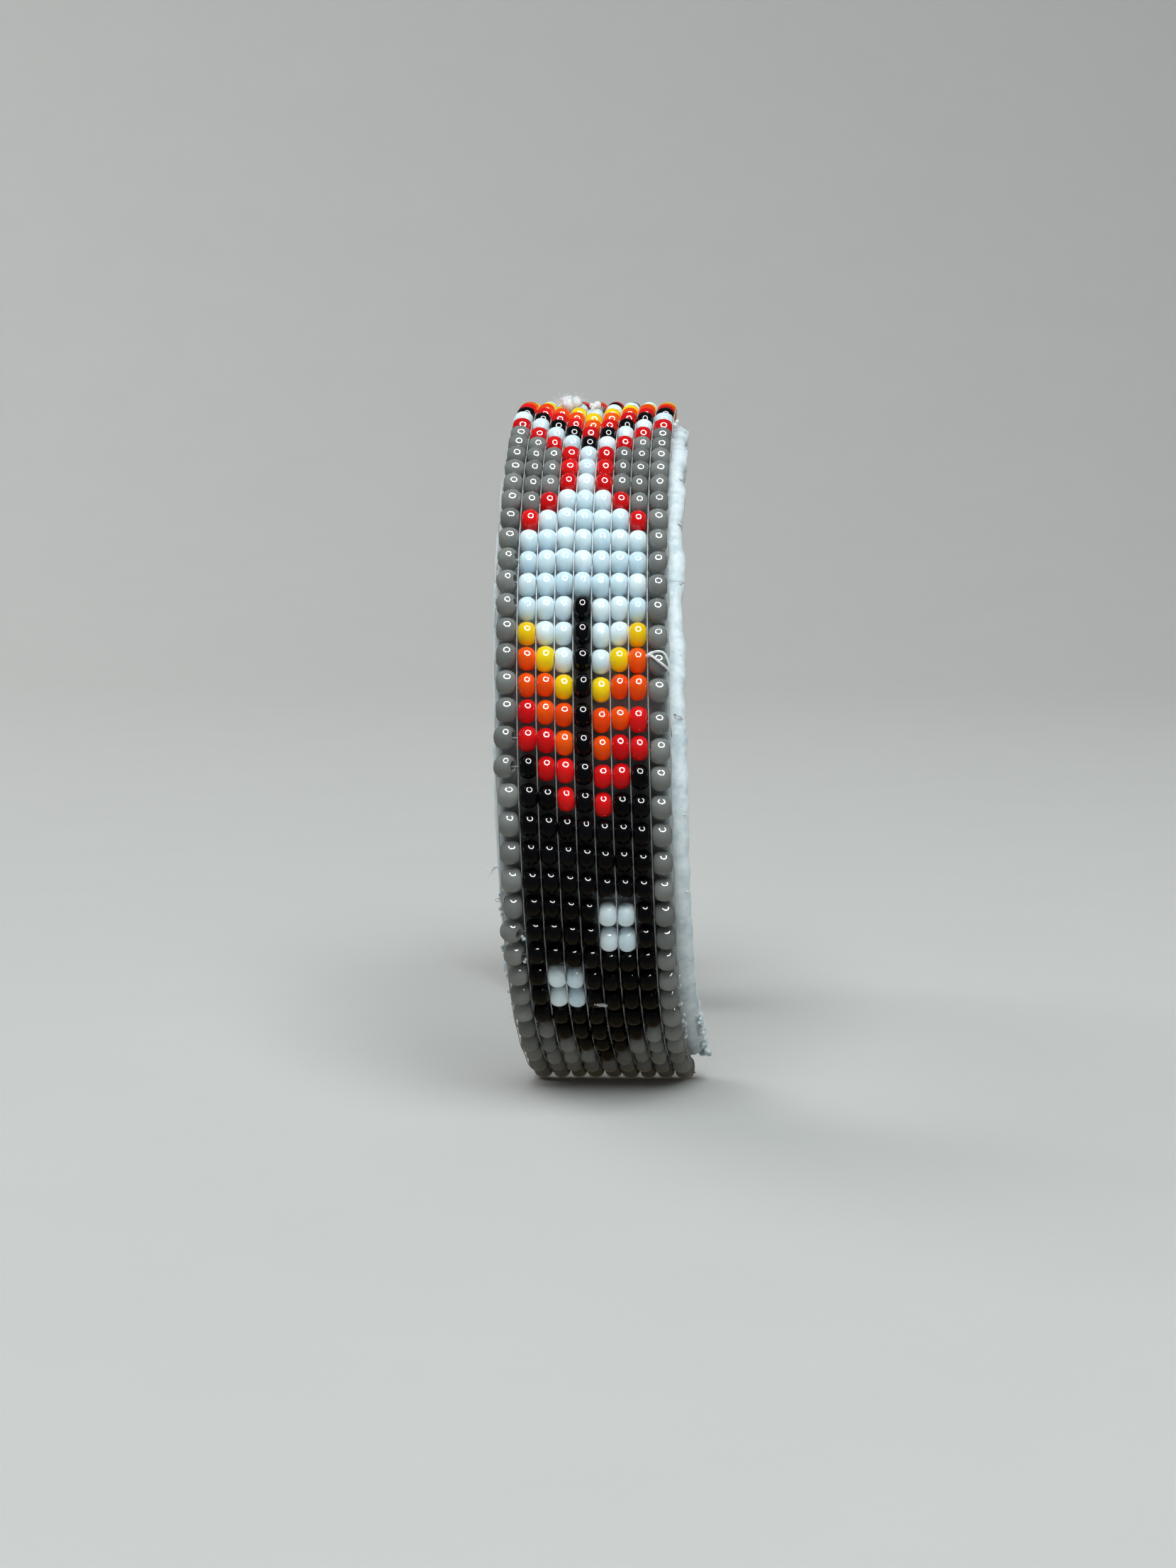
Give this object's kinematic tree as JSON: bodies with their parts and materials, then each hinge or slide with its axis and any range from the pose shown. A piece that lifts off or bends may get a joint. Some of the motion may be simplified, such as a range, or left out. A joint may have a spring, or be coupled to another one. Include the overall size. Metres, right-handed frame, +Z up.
{
  "type": "beaded cuff bracelet",
  "caption": "Open C-shaped cuff bracelet: a loom-woven band of glass seed beads with a medallion and feathers on a felt-covered springy metal blank.",
  "frame": {"origin": "bottom centre of the cuff as it stands on its two ends, opening down", "axes": "+Z up through the medallion, +X across the band, Y along the wide axis of the oval with the front arm at -Y"},
  "size_m": [0.0175, 0.072, 0.0566],
  "materials": {
    "felt": "soft short-napped white felt with a cool cast",
    "blank_metal": "plain satin strip, sealed inside",
    "thread": "fine waxed white nylon",
    "grey_glass": "opaque glossy grey",
    "white_glass": "milky opal white, glossy",
    "black_glass": "opaque glossy jet black",
    "red_glass": "opaque glossy red",
    "orange_glass": "opaque glossy orange",
    "yellow_glass": "opaque glossy yellow"
  },
  "bodies": {
    "root": {"felt_cover_centre": "felt", "felt_lining_centre": "felt", "metal_blank_centre": "blank_metal", "warp_threads_centre": "thread", "weft_threads_centre": "thread", "tack_stitches_centre": "thread", "grey_beads_centre": "grey_glass", "white_beads_centre": "white_glass", "black_beads_centre": "black_glass", "red_beads_centre": "red_glass", "orange_beads_centre": "orange_glass", "yellow_beads_centre": "yellow_glass"},
    "front_side": {"felt_cover_front_side": "felt", "felt_lining_front_side": "felt", "metal_blank_front_side": "blank_metal", "warp_threads_front_side": "thread", "weft_threads_front_side": "thread", "tack_stitches_front_side": "thread", "grey_beads_front_side": "grey_glass", "white_beads_front_side": "white_glass", "black_beads_front_side": "black_glass", "red_beads_front_side": "red_glass", "orange_beads_front_side": "orange_glass", "yellow_beads_front_side": "yellow_glass"},
    "front_end": {"felt_cover_front_end": "felt", "felt_lining_front_end": "felt", "metal_blank_front_end": "blank_metal", "warp_threads_front_end": "thread", "weft_threads_front_end": "thread", "tack_stitches_front_end": "thread", "grey_beads_front_end": "grey_glass", "white_beads_front_end": "white_glass", "black_beads_front_end": "black_glass", "red_beads_front_end": "red_glass", "orange_beads_front_end": "orange_glass", "end_beads_front_end": "grey_glass"},
    "back_side": {"felt_cover_back_side": "felt", "felt_lining_back_side": "felt", "metal_blank_back_side": "blank_metal", "warp_threads_back_side": "thread", "weft_threads_back_side": "thread", "tack_stitches_back_side": "thread", "grey_beads_back_side": "grey_glass", "white_beads_back_side": "white_glass", "black_beads_back_side": "black_glass", "red_beads_back_side": "red_glass", "orange_beads_back_side": "orange_glass", "yellow_beads_back_side": "yellow_glass"},
    "back_end": {"felt_cover_back_end": "felt", "felt_lining_back_end": "felt", "metal_blank_back_end": "blank_metal", "warp_threads_back_end": "thread", "weft_threads_back_end": "thread", "tack_stitches_back_end": "thread", "grey_beads_back_end": "grey_glass", "white_beads_back_end": "white_glass", "black_beads_back_end": "black_glass", "red_beads_back_end": "red_glass", "orange_beads_back_end": "orange_glass", "end_beads_back_end": "grey_glass"}
  },
  "joints": [
    {"name": "front_side_flex", "type": "hinge", "parent": "root", "child": "front_side", "pos_m": [0, -0.01919, 0.04852], "axis": [-1, 0, 0], "range_deg": [-2, 5], "stiffness_Nm_per_rad": 0.3},
    {"name": "front_end_flex", "type": "hinge", "parent": "front_side", "child": "front_end", "pos_m": [0, -0.03194, 0.03239], "axis": [-1, 0, 0], "range_deg": [-2, 5], "stiffness_Nm_per_rad": 0.3},
    {"name": "back_side_flex", "type": "hinge", "parent": "root", "child": "back_side", "pos_m": [0, 0.01919, 0.04852], "axis": [1, 0, 0], "range_deg": [-2, 5], "stiffness_Nm_per_rad": 0.3},
    {"name": "back_end_flex", "type": "hinge", "parent": "back_side", "child": "back_end", "pos_m": [0, 0.03194, 0.03239], "axis": [1, 0, 0], "range_deg": [-2, 5], "stiffness_Nm_per_rad": 0.3}
  ],
  "couplings": [
    {"joint": "front_end_flex", "follows": "front_side_flex", "ratio": 1},
    {"joint": "back_end_flex", "follows": "back_side_flex", "ratio": 1}
  ]
}
